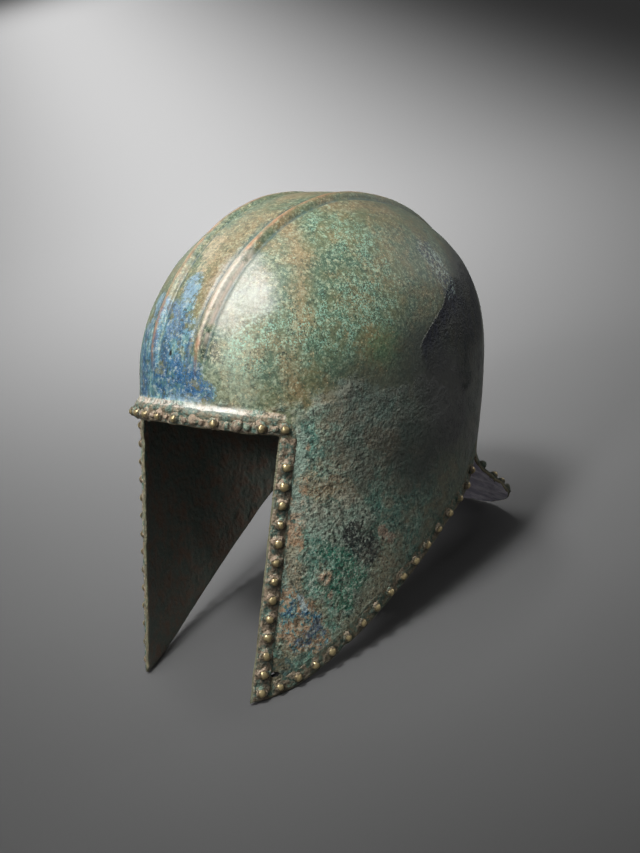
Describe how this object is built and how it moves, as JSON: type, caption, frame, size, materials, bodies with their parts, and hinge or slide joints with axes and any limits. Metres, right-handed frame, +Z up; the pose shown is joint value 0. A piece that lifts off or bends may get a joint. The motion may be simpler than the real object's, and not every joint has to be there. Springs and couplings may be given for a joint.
{
  "type": "illyrian helmet",
  "caption": "Open-faced Illyrian bronze helmet with a ribbed crown, long pointed cheek guards, flared neck guard and riveted borders under green and blue patina.",
  "frame": {"origin": "middle of the footprint box, on the surface that the helmet stands on", "axes": "+Z up; -Y is the way the face looks, so Y runs along the helmet's length; +X is the wearer's left"},
  "size_m": [0.162, 0.2512, 0.2301],
  "materials": {
    "patinated_sheet": "bronze sheet under green, teal and blue patina with brown crust, satin to rough",
    "rivet_borders": "bronze border and domed rivet heads, rubbed pale on top, green and brown crust round them"
  },
  "bodies": {
    "root": {"helmet_shell": "patinated_sheet", "brow_border": "rivet_borders", "cheek_front_border_l": "rivet_borders", "cheek_front_border_r": "rivet_borders", "cheek_rear_border_l": "rivet_borders", "cheek_rear_border_r": "rivet_borders", "neck_border": "rivet_borders"}
  },
  "joints": []
}
